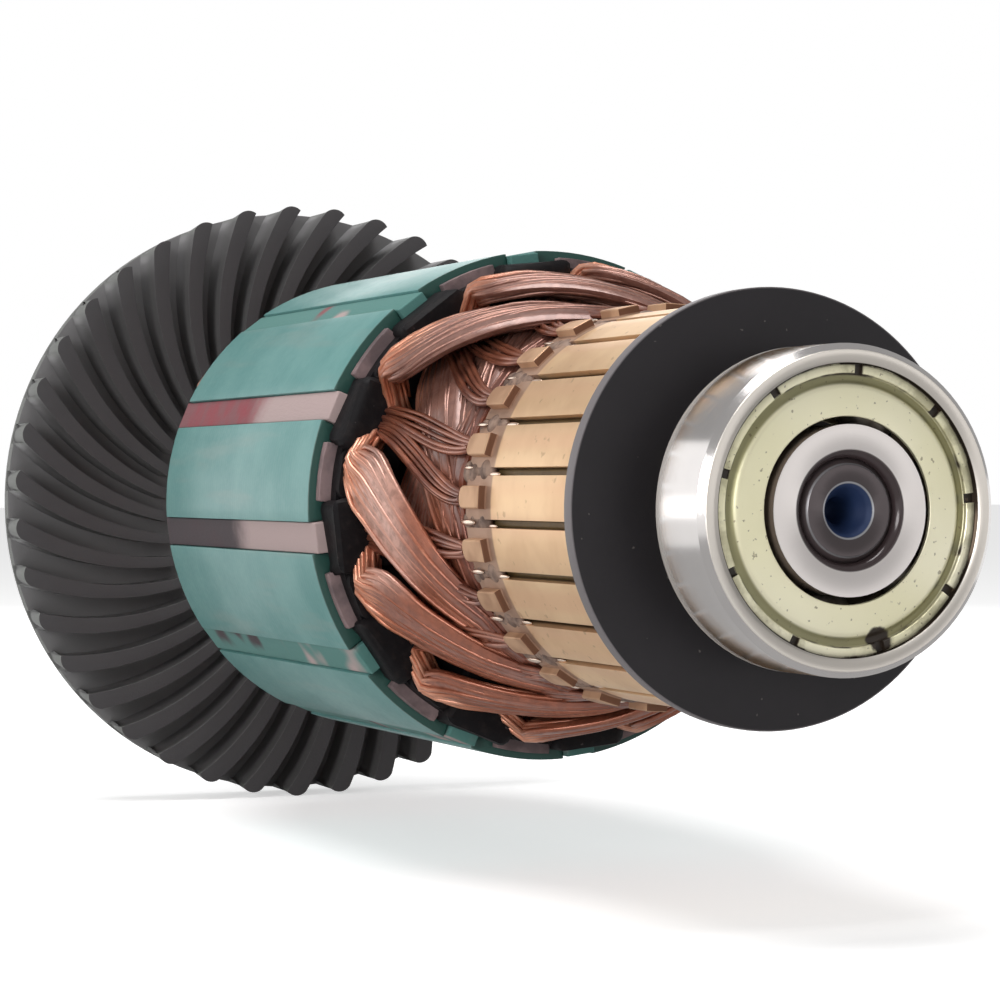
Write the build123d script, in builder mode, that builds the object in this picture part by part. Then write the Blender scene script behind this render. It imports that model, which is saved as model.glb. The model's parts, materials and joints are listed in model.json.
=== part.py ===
"""Armature of a small hand-held universal motor, with its commutator-end ball bearing.

Units are millimetres. The shaft lies along X with the commutator end towards +X and +Z up.
The origin is the centre of the commutator-end bearing. Every station along the shaft is
worked out from there towards -X by adding up the lengths below.
"""
from build123d import *
from math import cos, pi, radians, sin, sqrt, tan
import os

os.makedirs("parts", exist_ok=True)

# Ball bearing at the commutator end
bearing_outer_diameter = 19.0
bearing_bore = 6.0
bearing_width = 6.0
bearing_chamfer = 0.4
inner_ring_shoulder_radius = 4.9
outer_ring_shoulder_radius = 7.55
shield_seat_radius = 8.35
shield_seat_depth = 0.9
ball_count = 7
ball_radius = 1.72
ball_pitch_radius = 6.2
ball_angle = 12.0
race_clearance = 0.06
cage_wall = 1.2
cage_web = 0.45
cage_pocket_clearance = 0.06
shield_sheet = 0.25
shield_recess = 0.25
shield_step = 0.3
shield_running_gap = 0.45
shield_rim_width = 0.6
shield_valley_width = 0.5
shield_notch_count = 11
shield_notch_width = 0.55
shield_notch_land = 0.03

# Dust disc between the bearing and the commutator
disc_radius = 13.2
disc_thickness = 1.0
disc_gap = 3.2

# Commutator
bar_count = 24
bar_angle = -3.0
commutator_radius = 12.5
bar_length = 16.0
bar_depth = 3.1
bar_foot_depth = 1.6
bar_neck_width = 1.0
bar_neck_height = 0.6
bar_foot_width = 1.3
bar_edge_chamfer = 0.3
slit_width = 0.55
slit_depth = 0.6
hub_boss_length = 0.8
hub_boss_radius = 8.0
hub_rear_skirt = 0.6
tang_width = 1.45
tang_length = 3.25
tang_height = 0.55
tang_end_rounding = 0.65
tang_corner = 0.12
tang_root = 0.4

# Laminated core
core_length = 33.8
slot_count = 12
slot_angle = 7.1
slot_bottom_radius = 9.6
slot_top_radius = 16.2
tooth_tip_height = 1.5
slot_opening = 2.2
tooth_width = 4.0

# Slot insulation
liner_thickness = 0.25
liner_cuff = 1.5
wedge_flange = 0.5
wedge_recess = 0.2
wedge_clearance = 0.05
wedge_overhang = 0.6

# Insulation at the ends of the core
fibre_thickness = 0.8
fibre_setback = 0.5
cap_thickness = 1.0
cap_setback = 1.3
cap_collar_wall = 1.6
cap_collar_height = 7.0
cap_pad_height = 0.6
cap_pad_depth = 4.0
cap_slot_clearance = 0.15

# Winding
coil_span = 5
outer_layer_height = 2.0
layer_gap = 0.3
slot_clearance = 0.08
front_turn_height = 14.0
rear_turn_height = 13.0
winding_gap = 1.4
bundle_width = 2.65
bundle_height = 2.0
bundle_corner = 0.55
bundle_corner_limit = 0.6
straight_stub = 1.9
outer_apex_radius = 12.1
turn_radius = 1.2
turn_swing_angle = 15.0
sweep_power = 1.5
half_stations = 4
turn_stations = 4

# Wires from the winding to the commutator
lead_radius = 0.42
lead_hook_rise = 0.35
lead_mouth_rise = 0.1
lead_setback = 2.4
lead_spread_angle = 2.2
lead_gap = 0.2

# Fan
fan_radius = 25.2
fan_plate_radius = 24.8
fan_blade_count = 39
fan_blade_height = 4.2
fan_blade_inner_radius = 12.0
fan_blade_sweep_angle = 20.0
fan_blade_share = 0.42
fan_blade_root = 0.8
fan_blade_dish = 1.4
fan_dish_inner_radius = 11.0
fan_tip_rounding = 0.35
fan_rim_flat = 1.8
fan_plate_thickness = 1.2
fan_gap = 5.3
fan_hub_radius = 9.0
fan_hub_rear = 0.8

# Shaft
commutator_seat_diameter = 8.0
core_seat_diameter = 9.0
sleeve_wall = 1.2
fan_stop_diameter = 13.0
fan_stop_length = 2.5
fan_seat_diameter = 11.0
drive_bearing_diameter = 10.0
drive_bearing_seat_length = 9.5
pinion_seat_diameter = 8.0
pinion_seat_length = 12.5
shaft_end_recess = 0.2
shaft_end_chamfer = 0.4
centre_mouth_radius = 1.57
centre_pilot_radius = 0.8
centre_pilot_depth = 3.4
centre_cone_angle = 60.0

# Stations along the shaft
bearing_front_x = bearing_width / 2
bearing_back_x = -bearing_width / 2
disc_front_x = bearing_back_x - disc_gap
disc_back_x = disc_front_x - disc_thickness
bar_front_x = disc_back_x - hub_boss_length
bar_back_x = bar_front_x - bar_length
front_turn_x = bar_back_x - winding_gap
core_front_x = front_turn_x - front_turn_height
core_back_x = core_front_x - core_length
rear_turn_x = core_back_x - rear_turn_height
fan_front_x = rear_turn_x - fan_gap
fan_plate_x = fan_front_x - fan_blade_height
fan_back_x = fan_plate_x - fan_plate_thickness - fan_hub_rear
fan_stop_front_x = fan_front_x + fan_stop_length
pinion_seat_x = fan_back_x - drive_bearing_seat_length
shaft_end_x = pinion_seat_x - pinion_seat_length
shaft_front_x = bearing_front_x - shaft_end_recess

slot_pitch = 360 / slot_count
bar_pitch = 360 / bar_count
sleeve_radius = core_seat_diameter / 2 + sleeve_wall
core_radius = slot_top_radius + tooth_tip_height
wedge_bottom_radius = slot_top_radius - wedge_flange
layer_split_radius = wedge_bottom_radius - outer_layer_height
sleeve_front_x = bar_back_x - hub_rear_skirt
cap_x_depth = fibre_thickness + cap_thickness


def axial_plane(x):
    """Plane across the shaft at station x, facing the commutator end."""
    return Plane.YZ.offset(x)


def polar(x, radius, angle):
    """Point at a station, a radius and an angle in degrees from +Y towards +Z."""
    return Vector(x, radius * cos(radians(angle)), radius * sin(radians(angle)))


def ring(points):
    """Solid of revolution about the shaft axis from (x, radius) points."""
    with BuildPart() as body:
        with BuildSketch(Plane.XY):
            with BuildLine():
                Polyline(*points, close=True)
            make_face()
        revolve(axis=Axis.X)
    return body.part


def tube(front_x, back_x, inner_radius, outer_radius):
    """Plain tube between two stations."""
    return ring([(front_x, inner_radius), (front_x, outer_radius),
                 (back_x, outer_radius), (back_x, inner_radius)])


def save(part, name):
    """Label a finished piece and write it."""
    part.label = name
    export_step(part, f"parts/{name}.step")


# Shaft with a lathe centre in each end
centre_cone_depth = (centre_mouth_radius - centre_pilot_radius) / tan(radians(centre_cone_angle / 2))

with BuildPart() as shaft:
    shaft_steps = [
        (shaft_front_x, bearing_bore / 2),
        (bearing_back_x, commutator_seat_diameter / 2),
        (sleeve_front_x, core_seat_diameter / 2),
        (fan_stop_front_x, fan_stop_diameter / 2),
        (fan_front_x, fan_seat_diameter / 2),
        (fan_back_x, drive_bearing_diameter / 2),
        (pinion_seat_x, pinion_seat_diameter / 2),
    ]
    ends = [x for x, _ in shaft_steps[1:]] + [shaft_end_x]
    outline = [(shaft_front_x, 0)]
    for (step_x, step_radius), end_x in zip(shaft_steps, ends):
        outline += [(step_x, step_radius), (end_x, step_radius)]
    outline += [(shaft_end_x, 0)]
    with BuildSketch(Plane.XY):
        with BuildLine():
            Polyline(*outline, close=True)
        make_face()
    revolve(axis=Axis.X)
    chamfer(shaft.faces().sort_by(Axis.X)[-1].edges(), shaft_end_chamfer)
    chamfer(shaft.faces().sort_by(Axis.X)[0].edges(), shaft_end_chamfer)
    for end_x, inward in ((shaft_front_x, -1), (shaft_end_x, 1)):
        cone_x = end_x + inward * centre_cone_depth
        pilot_x = end_x + inward * centre_pilot_depth
        with BuildSketch(Plane.XY):
            with BuildLine():
                Polyline((end_x, 0), (end_x, centre_mouth_radius), (cone_x, centre_pilot_radius),
                         (pilot_x, centre_pilot_radius), (pilot_x, 0), close=True)
            make_face()
        revolve(axis=Axis.X, mode=Mode.SUBTRACT)
save(shaft.part, "shaft")

# Insulating sleeve that keeps the core and the winding off the shaft
with BuildPart() as shaft_sleeve:
    add(tube(sleeve_front_x, fan_stop_front_x, core_seat_diameter / 2, sleeve_radius))
save(shaft_sleeve.part, "shaft_sleeve")

# Bearing rings with their ball tracks
track_radius = ball_radius + race_clearance
shield_inner_x = bearing_width / 2 - shield_seat_depth


with BuildPart() as bearing_outer_ring:
    outer_radius = bearing_outer_diameter / 2
    with BuildSketch(Plane.XY):
        with BuildLine():
            Polyline(
                (bearing_front_x - bearing_chamfer, outer_radius),
                (bearing_front_x, outer_radius - bearing_chamfer),
                (bearing_front_x, shield_seat_radius),
                (shield_inner_x, shield_seat_radius),
                (shield_inner_x, outer_ring_shoulder_radius),
                (-shield_inner_x, outer_ring_shoulder_radius),
                (-shield_inner_x, shield_seat_radius),
                (bearing_back_x, shield_seat_radius),
                (bearing_back_x, outer_radius - bearing_chamfer),
                (bearing_back_x + bearing_chamfer, outer_radius),
                close=True,
            )
        make_face()
        with Locations((0, ball_pitch_radius)):
            Circle(track_radius, mode=Mode.SUBTRACT)
    revolve(axis=Axis.X)
save(bearing_outer_ring.part, "bearing_outer_ring")

with BuildPart() as bearing_inner_ring:
    bore_radius = bearing_bore / 2
    with BuildSketch(Plane.XY):
        with BuildLine():
            Polyline(
                (bearing_front_x, bore_radius + bearing_chamfer),
                (bearing_front_x, inner_ring_shoulder_radius),
                (bearing_back_x, inner_ring_shoulder_radius),
                (bearing_back_x, bore_radius + bearing_chamfer),
                (bearing_back_x + bearing_chamfer, bore_radius),
                (bearing_front_x - bearing_chamfer, bore_radius),
                close=True,
            )
        make_face()
        with Locations((0, ball_pitch_radius)):
            Circle(track_radius, mode=Mode.SUBTRACT)
    revolve(axis=Axis.X)
save(bearing_inner_ring.part, "bearing_inner_ring")

# Balls and the crown cage that spaces them
ball_angles = [ball_angle + 360 / ball_count * k for k in range(ball_count)]

with BuildPart() as bearing_balls:
    with Locations(*[polar(0, ball_pitch_radius, a) for a in ball_angles]):
        Sphere(ball_radius)
save(bearing_balls.part, "bearing_balls")

pocket_radius = ball_radius + cage_pocket_clearance
with BuildPart() as bearing_cage:
    add(tube(ball_radius / 2, -pocket_radius - cage_web,
             ball_pitch_radius - cage_wall / 2, ball_pitch_radius + cage_wall / 2))
    for angle in ball_angles:
        with BuildSketch(Plane(origin=polar(0, 0, angle), z_dir=polar(0, 1, angle))):
            Circle(pocket_radius)
        extrude(amount=bearing_outer_diameter / 2, mode=Mode.SUBTRACT)
save(bearing_cage.part, "bearing_cage")


def pressed_shield():
    """Front shield: rim crimped into its seat, a valley, and a flat that stops short of the inner ring."""
    flat_x = bearing_front_x - shield_recess
    valley_x = flat_x - shield_step
    rim_in = shield_seat_radius - shield_rim_width
    valley_in = rim_in - shield_valley_width
    flat_in = inner_ring_shoulder_radius + shield_running_gap
    with BuildPart() as shield:
        with BuildSketch(Plane.XY):
            with BuildLine():
                Polyline(
                    (flat_x, shield_seat_radius), (flat_x, rim_in), (valley_x, rim_in),
                    (valley_x, valley_in), (flat_x, valley_in), (flat_x, flat_in),
                    (flat_x - shield_sheet, flat_in), (flat_x - shield_sheet, valley_in - shield_sheet),
                    (valley_x - shield_sheet, valley_in - shield_sheet),
                    (valley_x - shield_sheet, shield_seat_radius), close=True,
                )
            make_face()
        revolve(axis=Axis.X)
        with BuildSketch(axial_plane(flat_x)):
            with PolarLocations(shield_seat_radius - shield_rim_width / 2, shield_notch_count):
                Rectangle(shield_rim_width - 2 * shield_notch_land, shield_notch_width)
        extrude(amount=-shield_step, mode=Mode.SUBTRACT)
    return shield.part


with BuildPart() as bearing_shield_front:
    add(pressed_shield())
save(bearing_shield_front.part, "bearing_shield_front")

with BuildPart() as bearing_shield_rear:
    add(pressed_shield().mirror(Plane.YZ))
save(bearing_shield_rear.part, "bearing_shield_rear")

# Dust disc
with BuildPart() as dust_disc:
    add(tube(disc_front_x, disc_back_x, commutator_seat_diameter / 2, disc_radius))
save(dust_disc.part, "dust_disc")


# Commutator bars, each with a moulded-in foot and a hook tang for the wires
def bar_half_width(radius):
    """Half the width of a bar at a distance from the axis, inside parallel slits."""
    return radius * tan(radians(bar_pitch / 2)) - slit_width / 2 / cos(radians(bar_pitch / 2))


bar_root_radius = commutator_radius - bar_depth
foot_top_radius = bar_root_radius - bar_neck_height
foot_bottom_radius = bar_root_radius - bar_foot_depth

with BuildPart() as bar_blank:
    edge_y = bar_half_width(commutator_radius)
    edge_r = sqrt(commutator_radius**2 - edge_y**2)
    root_y = bar_half_width(bar_root_radius)
    neck_y = bar_neck_width / 2
    foot_y = bar_foot_width / 2
    with BuildSketch(axial_plane(bar_front_x)):
        with BuildLine():
            ThreePointArc((edge_r, -edge_y), (commutator_radius, 0), (edge_r, edge_y))
            Polyline(
                (edge_r, edge_y), (bar_root_radius, root_y), (bar_root_radius, neck_y),
                (foot_top_radius, neck_y), (foot_bottom_radius, foot_y),
                (foot_bottom_radius, -foot_y), (foot_top_radius, -neck_y),
                (bar_root_radius, -neck_y), (bar_root_radius, -root_y), (edge_r, -edge_y),
            )
        make_face()
    extrude(amount=-bar_length)
    chamfer(bar_blank.faces().sort_by(Axis.X)[-1].edges().sort_by(Axis.Y)[-1], bar_edge_chamfer)

with BuildPart() as bar_pattern:
    add(bar_blank.part)
    tang_plane = Plane(origin=(0, commutator_radius - tang_root, 0), x_dir=(1, 0, 0), z_dir=(0, 1, 0))
    with BuildSketch(tang_plane) as tang_outline:
        with Locations((bar_back_x + tang_length / 2, 0)):
            Rectangle(tang_length, tang_width)
        fillet(tang_outline.vertices().group_by(Axis.X)[0], tang_end_rounding)
    extrude(amount=tang_root + tang_height)
    fillet(bar_pattern.faces().sort_by(Axis.Y)[-1].edges(), tang_corner)

bar_angles = [bar_angle + k * bar_pitch for k in range(bar_count)]
for k, angle in enumerate(bar_angles):
    with BuildPart() as commutator_bar:
        add(bar_pattern.part.rotate(Axis.X, angle))
    save(commutator_bar.part, f"commutator_bar_{k + 1:02d}")

# Moulded hub that holds the bars and fills the slits between them
with BuildPart() as commutator_hub:
    hub_outline = [
        (disc_back_x, commutator_seat_diameter / 2), (disc_back_x, hub_boss_radius),
        (bar_front_x, hub_boss_radius), (bar_front_x, commutator_radius - slit_depth),
        (bar_back_x, commutator_radius - slit_depth), (bar_back_x, bar_root_radius),
        (sleeve_front_x, bar_root_radius), (sleeve_front_x, commutator_seat_diameter / 2),
    ]
    add(ring(hub_outline))
    add([bar_blank.part.rotate(Axis.X, angle) for angle in bar_angles], mode=Mode.SUBTRACT)
save(commutator_hub.part, "commutator_hub")


# Slots of the core: a tapered pocket with parallel teeth between, and a narrow mouth
def slot_half_width(radius, inset=0.0):
    """Half the width of a slot at a distance from the axis, less an inset from its walls."""
    tooth_half = tooth_width / 2 + inset
    return radius * tan(radians(slot_pitch / 2)) - tooth_half / cos(radians(slot_pitch / 2))


def taper(inner_radius, outer_radius, inset):
    """Corners of the piece of a slot between two radii, inset from its walls."""
    inner_y = slot_half_width(inner_radius, inset)
    outer_y = slot_half_width(outer_radius, inset)
    return [(inner_radius, -inner_y), (outer_radius, -outer_y),
            (outer_radius, outer_y), (inner_radius, inner_y)]


def profile(points):
    """Closed flat face from its corners."""
    with BuildSketch(mode=Mode.PRIVATE) as face:
        with BuildLine():
            Polyline(*points, close=True)
        make_face()
    return face.sketch


def slots():
    """Places of the slots around the shaft."""
    return PolarLocations(0, slot_count, start_angle=slot_angle)


with BuildPart() as core_stack:
    with BuildSketch(axial_plane(core_front_x)):
        Circle(core_radius)
        Circle(sleeve_radius, mode=Mode.SUBTRACT)
        with slots():
            add(profile(taper(slot_bottom_radius, slot_top_radius, 0)), mode=Mode.SUBTRACT)
        with PolarLocations(core_radius, slot_count, start_angle=slot_angle):
            Rectangle(2 * (core_radius - slot_top_radius), slot_opening, mode=Mode.SUBTRACT)
    extrude(amount=-core_length)
save(core_stack.part, "core_stack")


# Fibre plates that cover the ends of the core, cut out at each slot
def star_plate(front_x, thickness, outer_radius, inset):
    """Flat plate with the slots of the core cut through its rim."""
    with BuildPart() as plate:
        with BuildSketch(axial_plane(front_x)):
            Circle(outer_radius)
            Circle(sleeve_radius, mode=Mode.SUBTRACT)
            with slots():
                add(profile(taper(slot_bottom_radius, core_radius, inset)), mode=Mode.SUBTRACT)
        extrude(amount=-thickness)
    return plate.part


fibre_radius = core_radius - fibre_setback
with BuildPart() as end_fibre_front:
    add(star_plate(core_front_x + fibre_thickness, fibre_thickness, fibre_radius, 0))
save(end_fibre_front.part, "end_fibre_front")

with BuildPart() as end_fibre_rear:
    add(star_plate(core_back_x, fibre_thickness, fibre_radius, 0))
save(end_fibre_rear.part, "end_fibre_rear")


# Moulded end caps: a plate with a collar round the sleeve and a raised pad on every tooth
def end_cap():
    """Front cap, facing the commutator."""
    plate_front_x = core_front_x + cap_x_depth
    cap_radius = core_radius - cap_setback
    pad_y = tooth_width / 2 - cap_slot_clearance
    with BuildPart() as cap:
        add(star_plate(plate_front_x, cap_thickness, cap_radius, -cap_slot_clearance))
        add(tube(plate_front_x + cap_collar_height, plate_front_x, sleeve_radius,
                 sleeve_radius + cap_collar_wall))
        with BuildSketch(axial_plane(plate_front_x)):
            with PolarLocations(cap_radius - cap_pad_depth / 2, slot_count,
                                start_angle=slot_angle + slot_pitch / 2):
                RectangleRounded(cap_pad_depth, 2 * pad_y, pad_y / 2)
        extrude(amount=cap_pad_height)
    return cap.part


core_middle = Plane.YZ.offset((core_front_x + core_back_x) / 2)
with BuildPart() as end_cap_front:
    add(end_cap())
save(end_cap_front.part, "end_cap_front")

with BuildPart() as end_cap_rear:
    add(end_cap().mirror(core_middle))
save(end_cap_rear.part, "end_cap_rear")

# Paper liners round the walls of the slots, with a cuff standing out at each end
with BuildPart() as slot_liners:
    with BuildSketch(axial_plane(core_front_x + liner_cuff)):
        with slots():
            add(profile(taper(slot_bottom_radius, slot_top_radius, 0)))
            add(profile(taper(slot_bottom_radius + liner_thickness, core_radius, liner_thickness)),
                mode=Mode.SUBTRACT)
    extrude(amount=-(core_length + 2 * liner_cuff))
save(slot_liners.part, "slot_liners")

# Wedges that close the mouths of the slots
with BuildPart() as slot_wedges:
    flange_y = slot_half_width(wedge_bottom_radius, liner_thickness) - wedge_clearance
    mouth_y = slot_opening / 2 - wedge_clearance
    wedge_top = core_radius - wedge_recess
    with BuildSketch(axial_plane(core_front_x + wedge_overhang)):
        with slots():
            add(profile([
                (wedge_bottom_radius, -flange_y), (slot_top_radius, -flange_y), (slot_top_radius, -mouth_y),
                (wedge_top, -mouth_y), (wedge_top, mouth_y), (slot_top_radius, mouth_y),
                (slot_top_radius, flange_y), (wedge_bottom_radius, flange_y),
            ]))
    extrude(amount=-(core_length + 2 * wedge_overhang))
save(slot_wedges.part, "slot_wedges")

# Winding: each coil has an outer leg in one slot, an inner leg in another, and two diamond end turns
leg_inset = liner_thickness + slot_clearance
outer_leg = (layer_split_radius + layer_gap / 2, wedge_bottom_radius - slot_clearance)
inner_leg = (slot_bottom_radius + liner_thickness + slot_clearance, layer_split_radius - layer_gap / 2)
outer_leg_radius = sum(outer_leg) / 2
inner_leg_radius = sum(inner_leg) / 2
inner_apex_radius = outer_apex_radius - 2 * turn_radius
coil_swing = coil_span * slot_pitch
half_swing = (coil_swing - 2 * turn_swing_angle) / 2
turn_reach = turn_radius + bundle_height / 2


def end_turn_path(end_height):
    """Stations of one end turn: height over the core, radius, angle and outward direction of the bundle.

    The bundle leaves the outer leg, slants round to the apex, folds under itself there and
    slants on to the inner leg. The outward direction is a pair (along the shaft, radial).
    """
    apex_height = end_height - turn_reach
    rise = apex_height - straight_stub
    stations = []
    for i in range(half_stations + 1):
        u = i / half_stations
        stations.append((straight_stub + rise * u,
                         outer_leg_radius + (outer_apex_radius - outer_leg_radius) * u,
                         half_swing * u**sweep_power, (0, 1)))
    middle_radius = outer_apex_radius - turn_radius
    for i in range(1, turn_stations):
        bend = pi * i / turn_stations
        stations.append((apex_height + turn_radius * sin(bend), middle_radius + turn_radius * cos(bend),
                         half_swing + 2 * turn_swing_angle * i / turn_stations, (sin(bend), cos(bend))))
    for i in range(half_stations, -1, -1):
        u = i / half_stations
        stations.append((straight_stub + rise * u,
                         inner_leg_radius + (inner_apex_radius - inner_leg_radius) * u,
                         coil_swing - half_swing * u**sweep_power, (0, -1)))
    return stations


def bundle_corners(low_width, high_width, height, corner):
    """Eight corners of a bundle's section, narrower at one side, with the corners taken off."""
    low, high = low_width / 2, high_width / 2
    flare = (high - low) / height
    low_cut = min(corner, low * bundle_corner_limit)
    high_cut = min(corner, high * bundle_corner_limit)
    right = [(low - low_cut, -height / 2), (low + flare * low_cut, -height / 2 + low_cut),
             (high - flare * high_cut, height / 2 - high_cut), (high - high_cut, height / 2)]
    left = [(-across, up) for across, up in reversed(right)]
    return right + left


def leg_corners(leg, outward):
    """Section of a slot leg, seen with its outward side up or down."""
    inner_y = slot_half_width(leg[0], leg_inset)
    outer_y = slot_half_width(leg[1], leg_inset)
    height = leg[1] - leg[0]
    corners = bundle_corners(2 * inner_y, 2 * outer_y, height, bundle_corner)
    if outward:
        return corners
    flipped = bundle_corners(2 * outer_y, 2 * inner_y, height, bundle_corner)
    return flipped


def end_turn(end_x, side, end_height):
    """Lofted end turn of one coil; side is +1 towards the commutator and -1 towards the fan."""
    stations = end_turn_path(end_height)
    points = [polar(end_x + side * h, r, a) for h, r, a, _ in stations]
    round_corners = bundle_corners(bundle_width, bundle_width, bundle_height, bundle_corner)
    sections = [(polar(end_x, outer_leg_radius, 0), Vector(side, 0, 0), Vector(0, 1, 0),
                 leg_corners(outer_leg, True))]
    for i, (h, r, a, (axial, radial)) in enumerate(stations):
        radial_direction = polar(0, 1, a)
        outward = Vector(side * axial, 0, 0) + radial_direction * radial
        if i == 0 or i == len(stations) - 1:
            along = Vector(side if i == 0 else -side, 0, 0)
            corners = leg_corners(outer_leg if i == 0 else inner_leg, i == 0)
        else:
            along = (points[i + 1] - points[i - 1]).normalized()
            corners = round_corners
        outward = (outward - along * outward.dot(along)).normalized()
        sections.append((points[i], along, outward, corners))
    sections.append((polar(end_x, inner_leg_radius, coil_swing), Vector(-side, 0, 0),
                     polar(0, -1, coil_swing), leg_corners(inner_leg, False)))
    with BuildPart() as turn:
        for centre, along, outward, corners in sections:
            across = outward.cross(along)
            with BuildSketch(Plane(origin=centre, x_dir=across, z_dir=along)):
                with BuildLine():
                    Polyline(*corners, close=True)
                make_face()
        loft(ruled=True)
    return turn.part


def slot_leg(leg, radius, angle, outward):
    """Straight leg of a coil through the core."""
    direction = polar(0, 1, angle)
    across = direction.cross(Vector(1, 0, 0))
    with BuildPart() as straight:
        with BuildSketch(Plane(origin=polar(core_front_x, radius, angle), x_dir=across, z_dir=(1, 0, 0))):
            with BuildLine():
                Polyline(*leg_corners(leg, outward), close=True)
            make_face()
        extrude(amount=-core_length)
    return straight.part


with BuildPart() as coil_pattern:
    add(slot_leg(outer_leg, outer_leg_radius, 0, True))
    add(slot_leg(inner_leg, inner_leg_radius, coil_swing, True))
    add(end_turn(core_front_x, 1, front_turn_height))
    add(end_turn(core_back_x, -1, rear_turn_height))

for k in range(slot_count):
    with BuildPart() as coil:
        add(coil_pattern.part.rotate(Axis.X, slot_angle + k * slot_pitch))
    save(coil.part, f"coil_{k + 1:02d}")

# Wires that lie over the winding from the slot mouths to the hook tangs
with BuildPart() as commutator_leads:
    for k in range(bar_count):
        slot_side = -1 if k % 2 == 0 else 1
        start_angle = bar_angle + (k + 1) * bar_pitch
        end_angle = slot_angle + k // 2 * slot_pitch + slot_side * lead_spread_angle
        start = polar(bar_back_x - lead_gap, commutator_radius + lead_hook_rise, start_angle)
        end = polar(core_front_x + lead_setback, slot_top_radius + lead_mouth_rise, end_angle)
        along = end - start
        with BuildSketch(Plane(origin=start, z_dir=along)):
            Circle(lead_radius)
        extrude(amount=along.length)
save(commutator_leads.part, "commutator_leads")


# Fan: a plate on a hub, with swept blades that stand towards the core and widen to the rim
def blade_lean(radius):
    """Angle by which a blade has swept round at a radius, none at the rim."""
    return fan_blade_sweep_angle * (fan_radius - radius) / (fan_radius - fan_blade_inner_radius)


def blade_edge(radius, side):
    """Point on one edge of a blade; side is +1 or -1."""
    half = fan_blade_share * 180 / fan_blade_count
    point = polar(0, radius, blade_lean(radius) + side * half)
    return point.Y, point.Z


def blade_outline():
    """Outline of one blade, with a rounded tip."""
    shoulder_radius = fan_radius - fan_tip_rounding
    middle_radius = (shoulder_radius + fan_blade_inner_radius) / 2
    stops = (fan_blade_inner_radius, middle_radius, shoulder_radius)
    with BuildSketch(mode=Mode.PRIVATE) as outline:
        with BuildLine():
            for side in (-1, 1):
                ThreePointArc(*[blade_edge(stop, side) for stop in stops])
            tip = polar(0, fan_radius, blade_lean(shoulder_radius))
            ThreePointArc(blade_edge(shoulder_radius, -1), (tip.Y, tip.Z), blade_edge(shoulder_radius, 1))
            Line(blade_edge(fan_blade_inner_radius, -1), blade_edge(fan_blade_inner_radius, 1))
        make_face()
    return outline.sketch


with BuildPart() as fan:
    with BuildSketch(axial_plane(fan_front_x)):
        with PolarLocations(0, fan_blade_count):
            add(blade_outline())
    extrude(amount=-(fan_blade_height + fan_blade_root))
    add(ring([
        (fan_front_x, fan_radius - fan_rim_flat), (fan_front_x, fan_dish_inner_radius),
        (fan_front_x - fan_blade_dish, fan_dish_inner_radius),
    ]), mode=Mode.SUBTRACT)
    add(tube(fan_plate_x, fan_plate_x - fan_plate_thickness, fan_seat_diameter / 2, fan_plate_radius))
    add(tube(fan_front_x, fan_back_x, fan_seat_diameter / 2, fan_hub_radius))
save(fan.part, "fan")
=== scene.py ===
"""Looks of a small motor armature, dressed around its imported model.

Lengths are metres, in the model's own frame.

The shaft lies along X with the commutator end towards +X. Angles turn about X, from +Y towards +Z.
"""
import json
import random
from math import cos, hypot, pi, radians, sin

import bmesh
import bpy
from mathutils import Matrix, Vector, noise


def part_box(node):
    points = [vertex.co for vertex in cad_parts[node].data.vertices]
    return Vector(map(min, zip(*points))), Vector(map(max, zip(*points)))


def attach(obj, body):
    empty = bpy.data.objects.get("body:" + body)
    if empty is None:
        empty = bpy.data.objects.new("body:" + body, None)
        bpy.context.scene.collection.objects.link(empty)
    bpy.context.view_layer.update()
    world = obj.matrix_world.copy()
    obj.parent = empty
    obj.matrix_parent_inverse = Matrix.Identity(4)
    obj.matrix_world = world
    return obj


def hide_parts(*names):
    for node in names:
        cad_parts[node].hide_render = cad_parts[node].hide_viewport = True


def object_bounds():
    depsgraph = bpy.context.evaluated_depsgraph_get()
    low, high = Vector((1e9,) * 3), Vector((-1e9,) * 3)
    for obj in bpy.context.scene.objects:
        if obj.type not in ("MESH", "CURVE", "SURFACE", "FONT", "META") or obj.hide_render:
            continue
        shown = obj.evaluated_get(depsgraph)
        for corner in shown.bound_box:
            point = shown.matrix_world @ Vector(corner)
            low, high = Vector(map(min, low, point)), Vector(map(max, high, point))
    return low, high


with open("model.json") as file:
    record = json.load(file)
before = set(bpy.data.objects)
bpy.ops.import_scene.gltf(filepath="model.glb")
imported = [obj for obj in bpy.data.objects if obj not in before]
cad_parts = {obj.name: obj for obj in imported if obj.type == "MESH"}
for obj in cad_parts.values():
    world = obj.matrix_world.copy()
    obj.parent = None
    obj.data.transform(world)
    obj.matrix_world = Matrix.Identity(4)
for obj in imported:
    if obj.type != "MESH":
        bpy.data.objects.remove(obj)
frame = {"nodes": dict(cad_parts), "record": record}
cad_low, cad_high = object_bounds()

MM = 0.001
FULL_TURN = 2 * pi

# Counts and angles of the slots and bars, in degrees
SLOT_COUNT, SLOT_ANGLE = 12, 7.1
BAR_COUNT, BAR_ANGLE = 24, -3.0
SLOT_PITCH, BAR_PITCH = 360 / SLOT_COUNT, 360 / BAR_COUNT
# Middle of the two wedges that no varnish covers, and how far to its sides they reach
BARE_WEDGES, BARE_REACH, COVERED_FROM = radians(172.0), radians(20), radians(28)


def station(node, end):
    """Front (+X) or back (-X) station of a node."""
    low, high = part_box(node)
    return high[0] if end == "front" else low[0]


def outer_radius(node):
    """Radius of a round node, from its box."""
    low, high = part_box(node)
    return max(high[1], high[2], -low[1], -low[2])


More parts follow.
